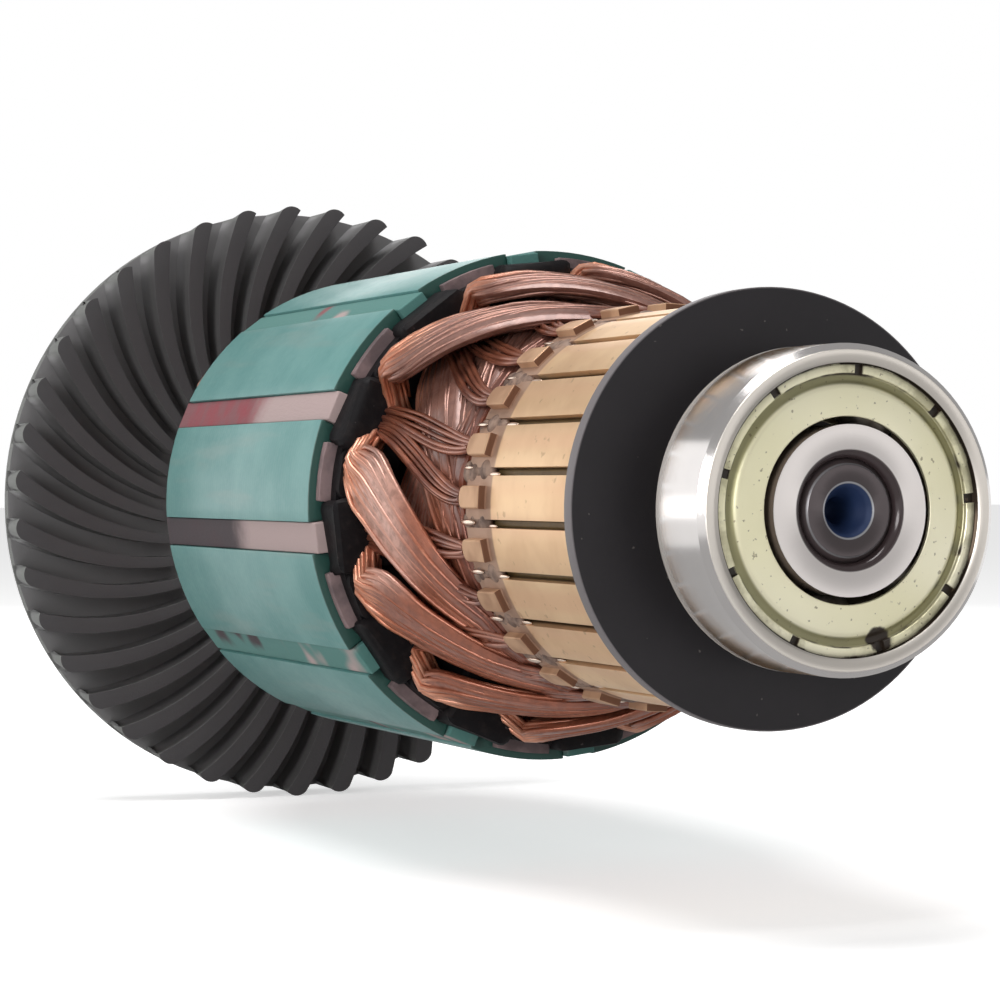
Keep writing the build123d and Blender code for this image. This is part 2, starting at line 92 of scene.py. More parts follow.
CORE_FRONT, CORE_BACK = station("core_stack", "front"), station("core_stack", "back")
BEARING_FRONT = station("bearing_outer_ring", "front")
BEARING_RADIUS = outer_radius("bearing_outer_ring")
DISC_RADIUS = outer_radius("dust_disc")
BAR_BACK, BAR_RADIUS = station("commutator_bar_01", "back"), 12.5 * MM
FAN_FRONT, FAN_RADIUS = station("fan", "front"), outer_radius("fan")


def polar(x, radius, degrees):
    """Point at a station, a radius and a turn about the shaft."""
    angle = radians(degrees)
    return Vector((x, radius * cos(angle), radius * sin(angle)))


class Wire:
    """One output of a node. Arithmetic on it adds Math nodes."""

    def __init__(self, nodes, socket):
        self.nodes = nodes
        self.socket = socket

    def math(self, operation, *others, clamp=False):
        settings = {"operation": operation, "use_clamp": clamp}
        return self.nodes.node("ShaderNodeMath", settings, [self, *others])[0]

    def __add__(self, other):
        return self.math("ADD", other)

    def __mul__(self, other):
        return self.math("MULTIPLY", other)

    def __sub__(self, other):
        return self.math("SUBTRACT", other)

    def __truediv__(self, other):
        return self.math("DIVIDE", other)

    def __rsub__(self, other):
        return self.nodes.node("ShaderNodeMath", {"operation": "SUBTRACT"}, [other, self])[0]

    __radd__, __rmul__ = __add__, __mul__

    def between(self, low, high, out_low=0.0, out_high=1.0):
        """Smooth step from one value to another, clamped."""
        settings = {"interpolation_type": "SMOOTHSTEP", "clamp": True}
        values = [self, low, high, out_low, out_high]
        return self.nodes.node("ShaderNodeMapRange", settings, values)[0]


class Outputs:
    """Outputs of a node, by name or number."""

    def __init__(self, nodes, made):
        self.nodes, self.made = nodes, made

    def __getitem__(self, key):
        return Wire(self.nodes, self.made.outputs[key])


class Nodes:
    """A node tree in the making."""

    def __init__(self, tree):
        self.tree = tree

    def node(self, kind, settings=None, values=()):
        """Adds a node with its settings, then its socket values or links, and gives its outputs."""
        made = self.tree.nodes.new(kind)
        for name, value in (settings or {}).items():
            setattr(made, name, value)
        pairs = values.items() if isinstance(values, dict) else enumerate(values)
        for key, value in pairs:
            if isinstance(value, Wire):
                self.tree.links.new(value.socket, made.inputs[key])
            elif value is not None:
                made.inputs[key].default_value = value
        return Outputs(self, made)

    def split(self, vector):
        parts = self.node("ShaderNodeSeparateXYZ", None, [vector])
        return parts[0], parts[1], parts[2]

    def vector(self, x, y, z):
        return self.node("ShaderNodeCombineXYZ", None, [x, y, z])[0]

    def length(self, vector):
        return self.node("ShaderNodeVectorMath", {"operation": "LENGTH"}, [vector])["Value"]


class Finish(Nodes):
    """A material in the making."""

    def __init__(self, name):
        self.material = bpy.data.materials.new(name)
        self.material.use_nodes = True
        super().__init__(self.material.node_tree)
        self.tree.nodes.clear()
        coordinates = self.node("ShaderNodeTexCoord")
        self.place = coordinates["Object"]
        self.x, self.y, self.z = self.split(self.place)
        self.facing_front = self.split(coordinates["Normal"])[0]
        self.radius = (self.y * self.y + self.z * self.z).math("SQRT")
        self.turn = self.z.math("ARCTAN2", self.y)

    def noise(self, at=None, scale=1000.0, detail=3.0, rough=0.55):
        """Cloudy noise from 0 to 1 about 0.5; scale is in turns per metre."""
        values = {"Vector": at or self.place, "Scale": scale, "Detail": detail, "Roughness": rough}
        return self.node("ShaderNodeTexNoise", None, values)["Fac"]

    def ring(self, inner, outer, soft):
        """Share of a ring between two radii in millimetres, each edge as wide as soft."""
        return (self.radius.between(inner * MM, (inner + soft) * MM)
                * self.radius.between(outer * MM, (outer - soft) * MM))

    def grinding(self, turn_scale):
        """Coordinates that run along the shaft and slowly round it, for turned or ground marks."""
        angle = self.turn * turn_scale
        return self.vector(self.x, angle.math("SINE") * turn_scale, 0.0)

    def mix(self, share, first, second):
        """Blend of two colours by a share from 0 to 1."""
        first = first if isinstance(first, Wire) else (*first, 1.0)
        second = second if isinstance(second, Wire) else (*second, 1.0)
        settings = {"data_type": "RGBA", "clamp_factor": True}
        made = self.node("ShaderNodeMix", settings, {0: share, 6: first, 7: second})
        return made[2]

    def bump(self, height, depth, strength=1.0, onto=None):
        """Surface relief; height runs from 0 to 1 and depth is in metres."""
        values = {"Height": height, "Distance": depth, "Strength": strength, "Normal": onto}
        return self.node("ShaderNodeBump", None, values)["Normal"]

    def done(self, **values):
        """Ends the material with its surface shader."""
        named = {key.replace("_", " "): value for key, value in values.items()}
        surface = self.node("ShaderNodeBsdfPrincipled", None, named)[0]
        self.node("ShaderNodeOutputMaterial", None, {"Surface": surface})
        return self.material


# Finishes


def turned_copper():
    """Commutator bars: fine turning marks on the brush track, duller and browner at the hooks."""
    f = Finish("turned_copper")
    marks = f.noise(f.grinding(0.02), scale=9000.0, detail=4.0, rough=0.7)
    cloud = f.noise(scale=260.0, detail=3.0)
    round_the_bars = f.vector(0.0, f.turn.math("SINE") * 7.0, f.turn.math("COSINE") * 7.0)
    per_bar = f.noise(round_the_bars, scale=1.1, detail=0.0)
    spots = f.noise(scale=1300.0, detail=2.0).between(0.66, 0.74)
    track = f.mix(cloud.between(0.35, 0.7), (0.86, 0.60, 0.36), (0.76, 0.50, 0.29))
    track = f.mix(per_bar.between(0.4, 0.65) * 0.5, track, (0.80, 0.49, 0.30))
    track = f.mix(spots * 0.4, track, (0.34, 0.18, 0.09))
    land = f.mix(cloud.between(0.4, 0.6), (0.50, 0.33, 0.24), (0.40, 0.25, 0.175))
    tongue = f.mix(cloud.between(0.4, 0.6), (0.66, 0.42, 0.26), (0.50, 0.29, 0.175))
    at_hooks = f.x.between(BAR_BACK + 4.2 * MM, BAR_BACK + 3.9 * MM)
    proud = f.radius.between(BAR_RADIUS + 0.05 * MM, BAR_RADIUS + 0.12 * MM)
    colour = f.mix(at_hooks, track, f.mix(proud, land, tongue))
    # The cut end of each hook is oxidised; the walls of the slits are dark brown
    cut_end = at_hooks * proud * f.facing_front.between(0.6, 0.85)
    colour = f.mix(cut_end, colour, (0.155, 0.065, 0.032))
    slit_wall = f.radius.between(BAR_RADIUS - 0.25 * MM, BAR_RADIUS - 0.5 * MM)
    colour = f.mix(slit_wall * 0.9, colour, (0.075, 0.04, 0.016))
    rough = marks * 0.14 + 0.34 + at_hooks * 0.12 + cut_end * 0.1
    return f.done(Base_Color=colour, Metallic=0.72 - cut_end * 0.6, Roughness=rough,
                  Normal=f.bump(marks, 0.010 * MM, 0.4))


def slit_resin():
    """Moulded hub, olive brown where it shows in the slits."""
    f = Finish("slit_resin")
    cloud = f.noise(scale=700.0)
    colour = f.mix(cloud, (0.19, 0.13, 0.05), (0.09, 0.055, 0.02))
    return f.done(Base_Color=colour, Roughness=0.55, Normal=f.bump(cloud, 0.05 * MM))


def varnish_brown(f, cloud):
    """Colour of the soaked winding: orange brown below, mauve above as a painted sheen, dark red at
    the hooks, and a painted highlight on the near side at the shaft's level.
    """
    # Painted sheen: the upper half of the winding is a greyer mauve, as the light from above
    # catches its varnish
    above = (f.z + cloud * 9.0 * MM).between(3.0 * MM, 9.0 * MM)
    colour = f.mix(above, (0.34, 0.108, 0.058), (0.26, 0.125, 0.095))
    # The bundle at the level of the shaft is painted pale on its near side: a painted highlight
    level = (f.z + 1.0 * MM).math("ABSOLUTE").between(5.5 * MM, 3.0 * MM)
    near_side = f.y.between(-8.0 * MM, -11.0 * MM)
    painted_highlight = level * near_side * f.x.between(CORE_FRONT + 10.5 * MM, CORE_FRONT + 7.5 * MM)
    colour = f.mix(painted_highlight * cloud.between(0.25, 0.45), colour, (0.68, 0.38, 0.30))
    behind_hooks = f.x.between(BAR_BACK - 4.0 * MM, BAR_BACK - 1.5 * MM)
    return f.mix(behind_hooks * 0.75, colour, (0.15, 0.046, 0.030))


def varnished_wire():
    """Enamelled copper wire under a thin coat of brown varnish, brighter near the slots where it
    stands proud, which is partly a painted highlight.
    """
    f = Finish("varnished_wire")
    cloud = f.noise(scale=320.0, detail=4.0)
    fine = f.noise(scale=2600.0, detail=3.0)
    # Bright copper near the slots, partly a painted highlight; brown varnish beyond
    front = f.x.between(CORE_FRONT + 3.2 * MM, CORE_FRONT + 6.5 * MM)
    rear = f.x.between(CORE_BACK - 3.2 * MM, CORE_BACK - 6.5 * MM)
    soaked = front + rear + cloud * 0.7 - 0.35
    bright = f.mix(cloud.between(0.35, 0.65), (0.80, 0.38, 0.25), (0.56, 0.19, 0.095))
    colour = f.mix(soaked, bright, varnish_brown(f, cloud))
    colour = f.mix(fine.between(0.5, 0.75) * 0.3, colour, (0.62, 0.30, 0.20))
    rough = fine * 0.25 + 0.24
    return f.done(Base_Color=colour, Metallic=0.6, Roughness=rough, Coat_Weight=0.4,
                  Coat_Roughness=0.2, Normal=f.bump(fine, 0.05 * MM, 0.6))


def varnish_sheet():
    """Smooth varnish that fills a bundle between its wires."""
    f = Finish("varnish_sheet")
    cloud = f.noise(scale=320.0, detail=4.0)
    fine = f.noise(scale=1500.0, detail=3.0)
    colour = f.mix(fine.between(0.35, 0.7) * 0.5, varnish_brown(f, cloud), (0.12, 0.045, 0.03))
    return f.done(Base_Color=colour, Metallic=0.25, Roughness=fine * 0.2 + 0.26, Coat_Weight=0.5,
                  Coat_Roughness=0.18, Normal=f.bump(fine, 0.08 * MM, 0.5))


def soaked_varnish():
    """Dark red-brown varnish that has run between the wires, painted near black near the core as
    the shade between the bundles.
    """
    f = Finish("soaked_varnish")
    cloud = f.noise(scale=380.0, detail=4.0)
    colour = f.mix(cloud, (0.27, 0.075, 0.038), (0.13, 0.036, 0.020))
    # Painted shade: near black near the core, where the bundles shade each other
    painted_shade_near_core = f.x.between(CORE_FRONT + 6.0 * MM, CORE_FRONT + 3.0 * MM)
    colour = f.mix(painted_shade_near_core, colour, (0.009, 0.007, 0.007))
    return f.done(Base_Color=colour, Roughness=cloud * 0.2 + 0.28, Coat_Weight=0.3,
                  Coat_Roughness=0.2, Normal=f.bump(cloud, 0.2 * MM, 0.6))


def lead_varnish():
    """Brown varnish over the wires that run to the hooks."""
    f = Finish("lead_varnish")
    cloud = f.noise(scale=420.0, detail=4.0)
    colour = f.mix(cloud.between(0.35, 0.65), (0.36, 0.125, 0.07), (0.20, 0.065, 0.04))
    return f.done(Base_Color=colour, Metallic=0.6, Roughness=cloud * 0.2 + 0.22, Coat_Weight=0.5,
                  Coat_Roughness=0.15, Normal=f.bump(cloud, 0.05 * MM, 0.5))


def hook_resin():
    """Greyish tan resin between the hooks."""
    f = Finish("hook_resin")
    cloud = f.noise(scale=900.0, detail=4.0)
    colour = f.mix(cloud.between(0.35, 0.65), (0.30, 0.20, 0.15), (0.10, 0.060, 0.045))
    return f.done(Base_Color=colour, Roughness=cloud * 0.2 + 0.5, Specular_IOR_Level=0.4,
                  Normal=f.bump(cloud, 0.15 * MM, 0.8))


def bright_bead():
    """Bare bright metal: wire pressed down beside its hook, and beads that stand in for a painted
    highlight on the bars' edges.
    """
    f = Finish("bright_bead")
    cloud = f.noise(scale=1500.0)
    colour = f.mix(cloud, (0.92, 0.78, 0.66), (0.80, 0.58, 0.44))
    return f.done(Base_Color=colour, Metallic=1.0, Roughness=cloud * 0.15 + 0.12)


def core_paint():
    """Teal green varnish over the stack of thin plates, which shows as faint rings."""
    f = Finish("core_paint")
    plates = (f.x * (FULL_TURN / (0.5 * MM))).math("SINE") * 0.5 + 0.5
    cloud = f.noise(scale=150.0, detail=4.0)
    fine = f.noise(scale=2500.0, detail=3.0)
    colour = f.mix(cloud.between(0.3, 0.7), (0.078, 0.235, 0.222), (0.125, 0.29, 0.275))
    streaks = f.noise(f.vector(f.x * 0.12, f.y, f.z), scale=420.0, detail=3.0)
    colour = f.mix(streaks.between(0.55, 0.7) * 0.5, colour, (0.17, 0.27, 0.25))
    end = f.x.between(CORE_FRONT - 0.25 * MM, CORE_FRONT - 0.05 * MM)
    colour = f.mix(end, colour, (0.022, 0.075, 0.062))
    relief = f.bump(plates, 0.01 * MM, 0.3)
    return f.done(Base_Color=colour, Roughness=fine * 0.2 + 0.4, Specular_IOR_Level=0.3,
                  Coat_Weight=0.35, Coat_Roughness=0.24,
                  Normal=f.bump(fine, 0.015 * MM, 0.4, relief))


def fibre_board(name, first, second, painted=False):
    """Pressed fibre, as used for the end plates, the slot paper and the wedges."""
    f = Finish(name)
    cloud = f.noise(scale=420.0, detail=4.0)
    threads = f.noise(f.vector(f.x * 0.25, f.y, f.z), scale=5200.0, detail=2.0)
    colour = f.mix(cloud.between(0.35, 0.65), first, second)
    if painted:
        # Two neighbouring wedges are bare, the lower one greyer; varnish covers most others
        towards_bare = (f.y * cos(BARE_WEDGES) + f.z * sin(BARE_WEDGES)) / f.radius
        covered = towards_bare.between(cos(BARE_REACH), cos(COVERED_FROM))
        patchy = f.noise(scale=160.0, detail=2.0).between(0.30, 0.42)
        lower = f.z.between(1.0 * MM, -1.0 * MM)
        # Paler grey pink towards the front end
        paler_to_front = (f.x + cloud * 4.0 * MM).between(CORE_FRONT - 16.0 * MM, CORE_FRONT - 11.0 * MM)
        colour = f.mix(lower * 0.9, f.mix(cloud, colour, (0.21, 0.07, 0.08)), (0.030, 0.027, 0.032))
        colour = f.mix(paler_to_front, colour, (0.40, 0.30, 0.29))
        colour = f.mix(covered * patchy, colour, (0.075, 0.20, 0.18))
    return f.done(Base_Color=colour, Roughness=0.72, Normal=f.bump(threads, 0.04 * MM, 0.6))


def black_moulding():
    """Near-black insulation with a slight shine."""
    f = Finish("black_moulding")
    fine = f.noise(scale=1400.0, detail=4.0)
    specks = f.noise(scale=1900.0, detail=1.0).between(0.74, 0.79)
    colour = f.mix(fine.between(0.45, 0.75), (0.006, 0.005, 0.006), (0.014, 0.011, 0.011))
    colour = f.mix(specks * 0.4, colour, (0.12, 0.10, 0.10))
    return f.done(Base_Color=colour, Roughness=fine * 0.2 + 0.5, Specular_IOR_Level=0.15,
                  Normal=f.bump(fine, 0.08 * MM, 0.7))


def brown_sleeve():
    """Dark brown insulating sleeve."""
    f = Finish("brown_sleeve")
    cloud = f.noise(scale=600.0)
    colour = f.mix(cloud, (0.11, 0.07, 0.045), (0.06, 0.035, 0.022))
    return f.done(Base_Color=colour, Roughness=0.5, Normal=f.bump(cloud, 0.05 * MM))


def fan_plastic():
    """Charcoal moulded plastic with painted light: the blades' sides lighter than their front
    edges, lighter valleys and lighter blade ends at the rim.
    """
    f = Finish("fan_plastic")
    cloud = f.noise(scale=180.0, detail=4.0)
    grain = f.noise(scale=5200.0, detail=2.0)
    # Painted light: the blades' sides are lighter than their front edges
    painted_lit_flank = f.facing_front.between(0.95, 0.55)
    rim = f.radius.between(FAN_RADIUS - 0.75 * MM, FAN_RADIUS - 0.30 * MM)
    # Painted fill light: the valleys between the blades are lighter, to lift their shade
    deep = f.x.between(FAN_FRONT - 0.6 * MM, FAN_FRONT - 3.2 * MM)
    colour = f.mix(cloud, (0.060, 0.056, 0.059), (0.076, 0.072, 0.074))
    colour = f.mix(painted_lit_flank, colour, (0.100, 0.097, 0.097))
    colour = f.mix(deep, colour, (0.20, 0.195, 0.197))
    # Painted highlight: the blades' ends at the rim are lighter
    colour = f.mix(painted_lit_flank * rim, colour, (0.155, 0.16, 0.15))
    return f.done(Base_Color=colour, Roughness=cloud * 0.15 + 0.5, Specular_IOR_Level=0.35,
                  Normal=f.bump(grain, 0.02 * MM, 0.5))


def disc_fibre():
    """Satin black disc with a grey cut edge and a few specks of dust."""
    f = Finish("disc_fibre")
    cloud = f.noise(scale=240.0, detail=4.0)
    specks = f.noise(scale=2100.0, detail=1.0).between(0.76, 0.80)
    rim = f.radius.between(DISC_RADIUS - 0.12 * MM, DISC_RADIUS - 0.04 * MM)
    colour = f.mix(cloud, (0.017, 0.015, 0.017), (0.024, 0.021, 0.024))
    colour = f.mix(specks * 0.35, colour, (0.25, 0.22, 0.2))
    colour = f.mix(rim, colour, (0.16, 0.145, 0.15))
    grain = f.noise(scale=4200.0, detail=2.0)
    return f.done(Base_Color=colour, Roughness=0.5, Specular_IOR_Level=0.35,
                  Normal=f.bump(grain, 0.015 * MM, 0.5))


def ring_steel():
    """Bearing rings: ground round the outside, lapped on the faces."""
    f = Finish("ring_steel")
    ground = f.noise(f.grinding(0.004), scale=14000.0, detail=4.0, rough=0.7)
    lapped = f.noise(f.vector(f.radius, f.turn * 0.0002, 0.0), scale=9000.0, detail=3.0)
    cloud = f.noise(scale=300.0, detail=4.0)
    face = f.x.between(BEARING_FRONT - 0.06 * MM, BEARING_FRONT - 0.02 * MM)
    inner = f.radius.between(5.1 * MM, 5.0 * MM)
    # Greasy brown in the bore's chamfer and on the step behind the shield
    chamfer = inner * f.radius.between(3.52 * MM, 3.42 * MM)
    behind_face = f.x.between(BEARING_FRONT - 0.02 * MM, BEARING_FRONT - 0.1 * MM)
    step = inner * f.radius.between(4.82 * MM, 4.87 * MM) * behind_face
    # Painted shade: near black on the shoulder under the shield
    shoulder = f.radius.between(7.0 * MM, 7.1 * MM) * f.radius.between(8.40 * MM, 8.36 * MM)
    # Dull film of grease where the outer ring meets the dust disc
    film = (f.radius.between(BEARING_RADIUS - 0.6 * MM, BEARING_RADIUS - 0.2 * MM)
            * f.x.between(BEARING_FRONT - 4.6 * MM, BEARING_FRONT - 5.6 * MM))
    colour = f.mix(cloud, (0.76, 0.73, 0.71), (0.66, 0.63, 0.62))
    colour = f.mix(face, colour, (0.88, 0.82, 0.75))
    colour = f.mix(face * inner, colour, (0.94, 0.88, 0.85))
    colour = f.mix(chamfer, colour, (0.050, 0.035, 0.036))
    colour = f.mix(shoulder, colour, (0.030, 0.022, 0.016))
    colour = f.mix(step, colour, (0.20, 0.155, 0.12))
    colour = f.mix(film * 0.8, colour, (0.30, 0.27, 0.24))
    rough = ground * 0.10 + face * 0.22 + film * 0.15 + 0.10
    plain = (chamfer + step + film).math("MINIMUM", 1.0)
    return f.done(Base_Color=colour, Metallic=1.0 - plain * 0.85, Roughness=rough,
                  Normal=f.bump(ground + lapped, 0.004 * MM, 0.6))


def shield_plating():
    """Pressed shield with pale yellow-green plating, a little dirty along the rim, with painted
    shade in its valley and notches.
    """
    f = Finish("shield_plating")
    cloud = f.noise(scale=500.0, detail=5.0)
    specks = f.noise(scale=2600.0, detail=2.0).between(0.66, 0.72)
    wide = f.noise(scale=90.0, detail=1.0)
    colour = f.mix(wide.between(0.35, 0.65), (1.0, 0.95, 0.72), (0.92, 0.87, 0.60))
    # Painted shade: the valley is darker
    valley = f.radius.between(7.10 * MM, 7.28 * MM) * f.radius.between(7.80 * MM, 7.66 * MM)
    colour = f.mix(valley * 0.85, colour, (0.20, 0.185, 0.075))
    lip = f.radius.between(7.72 * MM, 7.80 * MM)
    colour = f.mix(lip * cloud.between(0.45, 0.62) * 0.55, colour, (0.33, 0.30, 0.17))
    # Painted shade in the notches; old grease along the valley's corner and the seat, and one blot
    # low down
    deep = f.x.between(BEARING_FRONT - 0.30 * MM, BEARING_FRONT - 0.40 * MM) * lip
    seat = f.radius.between(8.20 * MM, 8.30 * MM) * cloud.between(0.36, 0.50)
    corner = f.radius.between(7.62 * MM, 7.74 * MM) * f.radius.between(7.84 * MM, 7.76 * MM)
    dirty = f.noise(scale=330.0, detail=3.0).between(0.50, 0.60)
    from_blot = f.length(f.vector(0.0, f.y - 2.1 * MM, f.z + 7.3 * MM))
    blot = (from_blot + cloud * 1.3 * MM).between(1.50 * MM, 1.30 * MM)
    grease = (deep + seat + corner * dirty).math("MAXIMUM", blot, clamp=True)
    colour = f.mix(grease, colour, (0.030, 0.020, 0.013))
    colour = f.mix(specks * 0.6, colour, (0.14, 0.10, 0.06))
    return f.done(Base_Color=colour, Metallic=0.6 - grease * 0.55, Roughness=cloud * 0.2 + 0.3,
                  Normal=f.bump(cloud, 0.03 * MM, 0.5))


def shaft_steel():
    """Ground shaft; its end face is dark and the lathe centre has a deep blue tinge."""
    f = Finish("shaft_steel")
    ground = f.noise(f.grinding(0.004), scale=11000.0, detail=4.0)
    cloud = f.noise(scale=350.0, detail=4.0)
    front = f.x.between(BEARING_FRONT - 6.0 * MM, BEARING_FRONT - 5.0 * MM)
    hole = front * f.radius.between(1.58 * MM, 1.52 * MM)
    edge = front * f.ring(1.50, 1.68, 0.06)
    rim = front * f.ring(2.58, 2.72, 0.05)
    outside = front * f.radius.between(2.55 * MM, 2.75 * MM)
    colour = f.mix(cloud, (0.56, 0.55, 0.54), (0.46, 0.45, 0.44))
    colour = f.mix(front, colour, (0.135, 0.115, 0.118))
    colour = f.mix(outside, colour, (0.075, 0.055, 0.056))
    colour = f.mix((edge + rim * 0.5).math("MINIMUM", 1.0), colour, (0.50, 0.50, 0.52))
    colour = f.mix(hole, colour, (0.013, 0.031, 0.095))
    dull = (hole + outside).math("MINIMUM", 1.0)
    rough = ground * 0.15 + 0.25 + dull * 0.25
    return f.done(Base_Color=colour, Metallic=1.0 - dull * 0.8, Roughness=rough,
                  Normal=f.bump(ground, 0.006 * MM, 0.5))


def greasy_steel():
    """Bearing balls under a film of dark grease."""
    f = Finish("greasy_steel")
    cloud = f.noise(scale=900.0)
    colour = f.mix(cloud.between(0.35, 0.6), (0.12, 0.095, 0.07), (0.32, 0.28, 0.24))
    return f.done(Base_Color=colour, Metallic=0.6, Roughness=cloud * 0.2 + 0.25)


def cage_nylon():
    """Brown nylon cage with a film of grease."""
    f = Finish("cage_nylon")
    cloud = f.noise(scale=900.0)
    colour = f.mix(cloud, (0.15, 0.115, 0.085), (0.09, 0.065, 0.045))
    return f.done(Base_Color=colour, Roughness=0.4, Coat_Weight=0.4,
                  Normal=f.bump(cloud, 0.05 * MM))


COPPER, RESIN, WIRE, PAINT = turned_copper(), slit_resin(), varnished_wire(), core_paint()
SOAKED, LEAD, HOOK_RESIN, BEAD = soaked_varnish(), lead_varnish(), hook_resin(), bright_bead()
SHEET = varnish_sheet()
PINK_FIBRE = fibre_board("pink_fibre", (0.24, 0.165, 0.165), (0.12, 0.085, 0.088))
SLOT_PAPER = fibre_board("slot_paper", (0.22, 0.14, 0.14), (0.11, 0.07, 0.07))
WEDGE_FIBRE = fibre_board("wedge_fibre", (0.26, 0.032, 0.046), (0.17, 0.075, 0.08), painted=True)
BLACK, SLEEVE, FAN, DISC = black_moulding(), brown_sleeve(), fan_plastic(), disc_fibre()
STEEL, SHIELD, SHAFT = ring_steel(), shield_plating(), shaft_steel()
BALLS, CAGE = greasy_steel(), cage_nylon()


# Pieces


def placed(name, data):
    """Object for a mesh, lamp or camera, at the origin."""
    piece = bpy.data.objects.new(name, data)
    bpy.context.collection.objects.link(piece)
    return piece


def finish_mesh(shape, mesh, material, sharp):
    """Writes a bmesh to a mesh, with one material, smooth up to a sharp angle in degrees."""
    shape.to_mesh(mesh)
    shape.free()
    mesh.materials.clear()
    mesh.materials.append(material)
    mesh.shade_smooth()
    mesh.set_sharp_from_angle(angle=radians(sharp))


def dress(node, material, bevel, body, sharp=35.0):
    """Copies a node's mesh, joins it, rounds its edges, and puts it in the node's place."""
    mesh = frame["nodes"][node].data.copy()
    shape = bmesh.new()
    shape.from_mesh(mesh)
    bmesh.ops.remove_doubles(shape, verts=shape.verts, dist=0.0005 * MM)
    bmesh.ops.dissolve_limit(shape, angle_limit=radians(0.5), verts=shape.verts, edges=shape.edges)
    if bevel:
        edges = [edge for edge in shape.edges
                 if len(edge.link_faces) == 2 and edge.calc_face_angle(0) > radians(sharp)]
        bmesh.ops.bevel(shape, geom=edges, offset=bevel, segments=2, profile=0.7, affect="EDGES",
                        clamp_overlap=True)
    bmesh.ops.triangulate(shape, faces=[face for face in shape.faces if len(face.verts) > 4])
    finish_mesh(shape, mesh, material, sharp)
    piece = placed(f"{node}_dressed", mesh)
    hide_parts(node)
    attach(piece, body)
    return piece


def slot_of(node):
    """The record's material slot of a node."""
    parts = frame["record"]["subparts"]
    return next(part["material_slot"] for part in parts if part["node"] == node)


# Node, finish, rounding of its edges and the body that it rides on
DRESSES = [
    ("shaft", SHAFT, 0.0, "rotor"),
    ("shaft_sleeve", SLEEVE, 0.0, "rotor"),
    ("core_stack", PAINT, 0.12 * MM, "rotor"),
    ("end_fibre_front", PINK_FIBRE, 0.1 * MM, "rotor"),
    ("end_fibre_rear", PINK_FIBRE, 0.1 * MM, "rotor"),
    ("end_cap_front", BLACK, 0.15 * MM, "rotor"),
    ("end_cap_rear", BLACK, 0.15 * MM, "rotor"),
    ("slot_liners", SLOT_PAPER, 0.0, "rotor"),
    ("slot_wedges", WEDGE_FIBRE, 0.1 * MM, "rotor"),
    ("commutator_hub", RESIN, 0.0, "rotor"),
    ("dust_disc", DISC, 0.08 * MM, "rotor"),
    ("fan", FAN, 0.30 * MM, "rotor"),
    ("bearing_inner_ring", STEEL, 0.0, "rotor"),
    ("bearing_outer_ring", STEEL, 0.0, "bearing_shell"),
    ("bearing_shield_rear", SHIELD, 0.05 * MM, "bearing_shell"),
    ("bearing_balls", BALLS, 0.0, "ball_train"),
    ("bearing_cage", CAGE, 0.0, "ball_train"),
]
DRESSES += [(f"commutator_bar_{k + 1:02d}", COPPER, 0.08 * MM, "rotor") for k in range(BAR_COUNT)]

for node, material, bevel, body in DRESSES:
    piece = dress(node, material, bevel, body)
    slot_of(node)


def lean_blades():
    """Leans the blades' outer ends in towards the fan's plate, whose rim stays a smooth ring."""
    plate_front, plate_radius = FAN_FRONT - 4.2 * MM, 24.83 * MM
    root, lean = -0.3, 0.020
    for vertex in bpy.data.objects["fan_dressed"].data.vertices:
        place = vertex.co
        height = (place.x - plate_front) / (FAN_FRONT - plate_front)
        if hypot(place.y, place.z) > plate_radius and height > root:
            drawn_in = 1.0 - lean * (1.0 - min(max(height, 0.0), 1.0))
            vertex.co = (place.x, place.y * drawn_in, place.z * drawn_in)


lean_blades()


def mesh_piece(name, shape, material, body, slot_node, sharp=35.0):
    """Object from a bmesh, with its normals outward, riding on a body."""
    bmesh.ops.recalc_face_normals(shape, faces=shape.faces)
    mesh = bpy.data.meshes.new(name)
    finish_mesh(shape, mesh, material, sharp)
    piece = placed(name, mesh)
    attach(piece, body)
    slot_of(slot_node)
    return piece


def skin(shape, rings):
    """Faces between neighbouring closed rings of vertices."""
    for near, far in zip(rings, rings[1:]):
        for i in range(len(near)):
            j = (i + 1) % len(near)
            shape.faces.new((near[i], near[j], far[j], far[i]))


def crimped_shield():
    """Front shield as pressed: soft shoulder, valley, and a crimped rim cut by narrow notches."""
    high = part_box("bearing_shield_front")[1]
    top, seat = high[0], max(high[1], high[2]) / MM
    # Depth below the flat and radius in millimetres, then how far a notch lowers the point
    profile = [(0.25, 5.35, 0), (0.03, 5.35, 0), (0.0, 5.39, 0), (0.0, 6.9, 0), (0.03, 7.05, 0),
               (0.13, 7.2, 0), (0.25, 7.32, 0), (0.30, 7.45, 0), (0.30, 7.70, 0), (0.26, 7.745, 0),
               (0.05, 7.76, 0.25), (0.0, 7.81, 0.3), (0.0, 8.29, 0.3), (0.04, seat, 0.26),
               (0.55, seat, 0), (0.55, 7.0, 0), (0.25, 6.85, 0)]
    notches, first_notch, steps_between = 9, 5.0, 10
    pitch = 360 / notches
    mouth, base = 2.0, 1.85
    land = pitch - 2 * mouth
    columns = []
    for k in range(notches):
        turn = first_notch + k * pitch
        columns += [(turn - mouth, 0), (turn - base, 1), (turn + base, 1), (turn + mouth, 0)]
        columns += [(turn + mouth + land * i / steps_between, 0) for i in range(1, steps_between)]
    shape = bmesh.new()
    rings = [[shape.verts.new(polar(top - (down + cut * lowered) * MM, radius * MM, turn))
              for down, radius, lowered in profile] for turn, cut in columns]
    skin(shape, [*rings, rings[0]])
    piece = mesh_piece("bearing_shield_front_pressed", shape, SHIELD, "bearing_shell",
                       "bearing_shield_front")
    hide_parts("bearing_shield_front")


crimped_shield()


